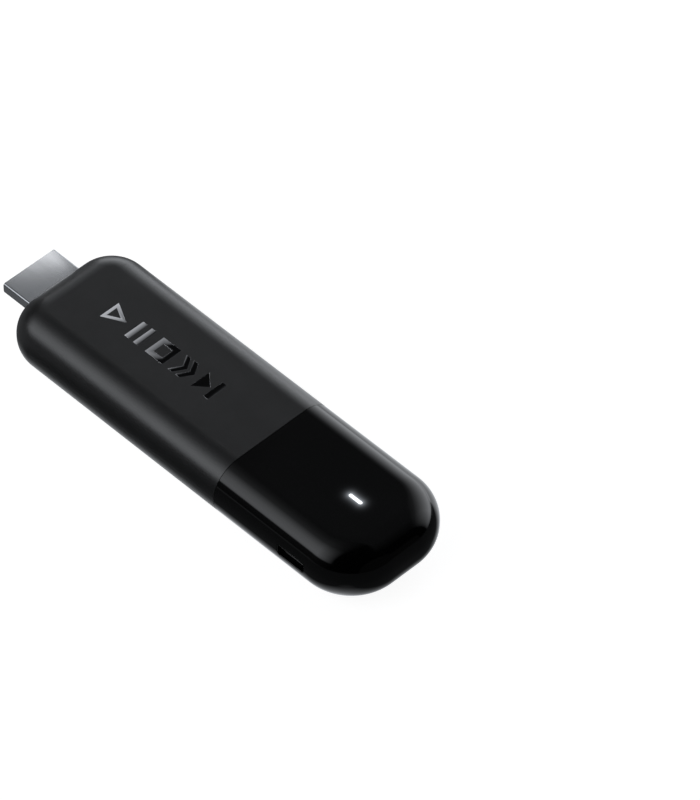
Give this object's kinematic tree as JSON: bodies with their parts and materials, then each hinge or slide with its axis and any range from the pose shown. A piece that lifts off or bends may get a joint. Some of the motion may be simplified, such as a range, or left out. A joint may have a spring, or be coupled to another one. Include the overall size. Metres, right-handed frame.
{
  "type": "streaming media player stick",
  "caption": "Slim media player stick with rounded edges: matte sleeve, glossy end cap with a lamp bar, a fixed video plug at one end and a small power port in one long side.",
  "frame": {"origin": "centre of the bounding box in plan, on the back face that the stick lies on", "axes": "+X along the stick from the video plug to the lamp end, +Y away from the power port side, +Z out of the front face"},
  "size_m": [0.108, 0.0314, 0.014],
  "materials": {
    "sleeve": "fine matte moulded texture",
    "end_gloss": "high gloss",
    "mark_foil": "mirror foil",
    "lamp_window": "milky, lit",
    "plug_steel": "satin plated sheet",
    "can_steel": "tinned sheet",
    "contact_gold": "plated",
    "dark_plastic": "moulded",
    "carrier_plastic": "moulded",
    "board_laminate": "solder mask over glass laminate",
    "chip_epoxy": "moulded epoxy",
    "ferrite": "pressed",
    "capacitor_body": "fired",
    "lamp_body": "fired",
    "pad_silicone": "soft",
    "shroud_foam": "soft",
    "spreader_metal": "rolled",
    "antenna_metal": "stamped",
    "lead_jacket": "smooth",
    "screw_steel": "zinc plated"
  },
  "bodies": {
    "root": {"casing_sleeve": "sleeve", "end_cap": "end_gloss", "front_mark": "mark_foil", "light_pipe": "lamp_window", "light_shroud": "shroud_foam", "plug_shell": "plug_steel", "plug_insulator": "dark_plastic", "plug_contacts_upper": "contact_gold", "plug_contacts_lower": "contact_gold", "port_shell": "plug_steel", "port_tongue": "dark_plastic", "port_contacts": "contact_gold", "inner_carrier": "carrier_plastic", "carrier_screws": "screw_steel", "main_board": "board_laminate", "processor": "chip_epoxy", "memory_chips": "chip_epoxy", "storage_chip": "chip_epoxy", "power_chip": "chip_epoxy", "radio_module": "can_steel", "inductors": "ferrite", "capacitors": "capacitor_body", "clock_crystal": "can_steel", "lamp_chip": "lamp_body", "shield_fence_front": "can_steel", "shield_lid_front": "can_steel", "shield_fence_back": "can_steel", "shield_lid_back": "can_steel", "chip_pad": "pad_silicone", "thermal_pad_front": "pad_silicone", "thermal_pad_back": "pad_silicone", "heat_spreader_front": "spreader_metal", "heat_spreader_back": "spreader_metal", "antenna_side": "antenna_metal", "antenna_end": "antenna_metal", "antenna_leads": "lead_jacket", "antenna_plugs": "antenna_metal"}
  },
  "joints": []
}
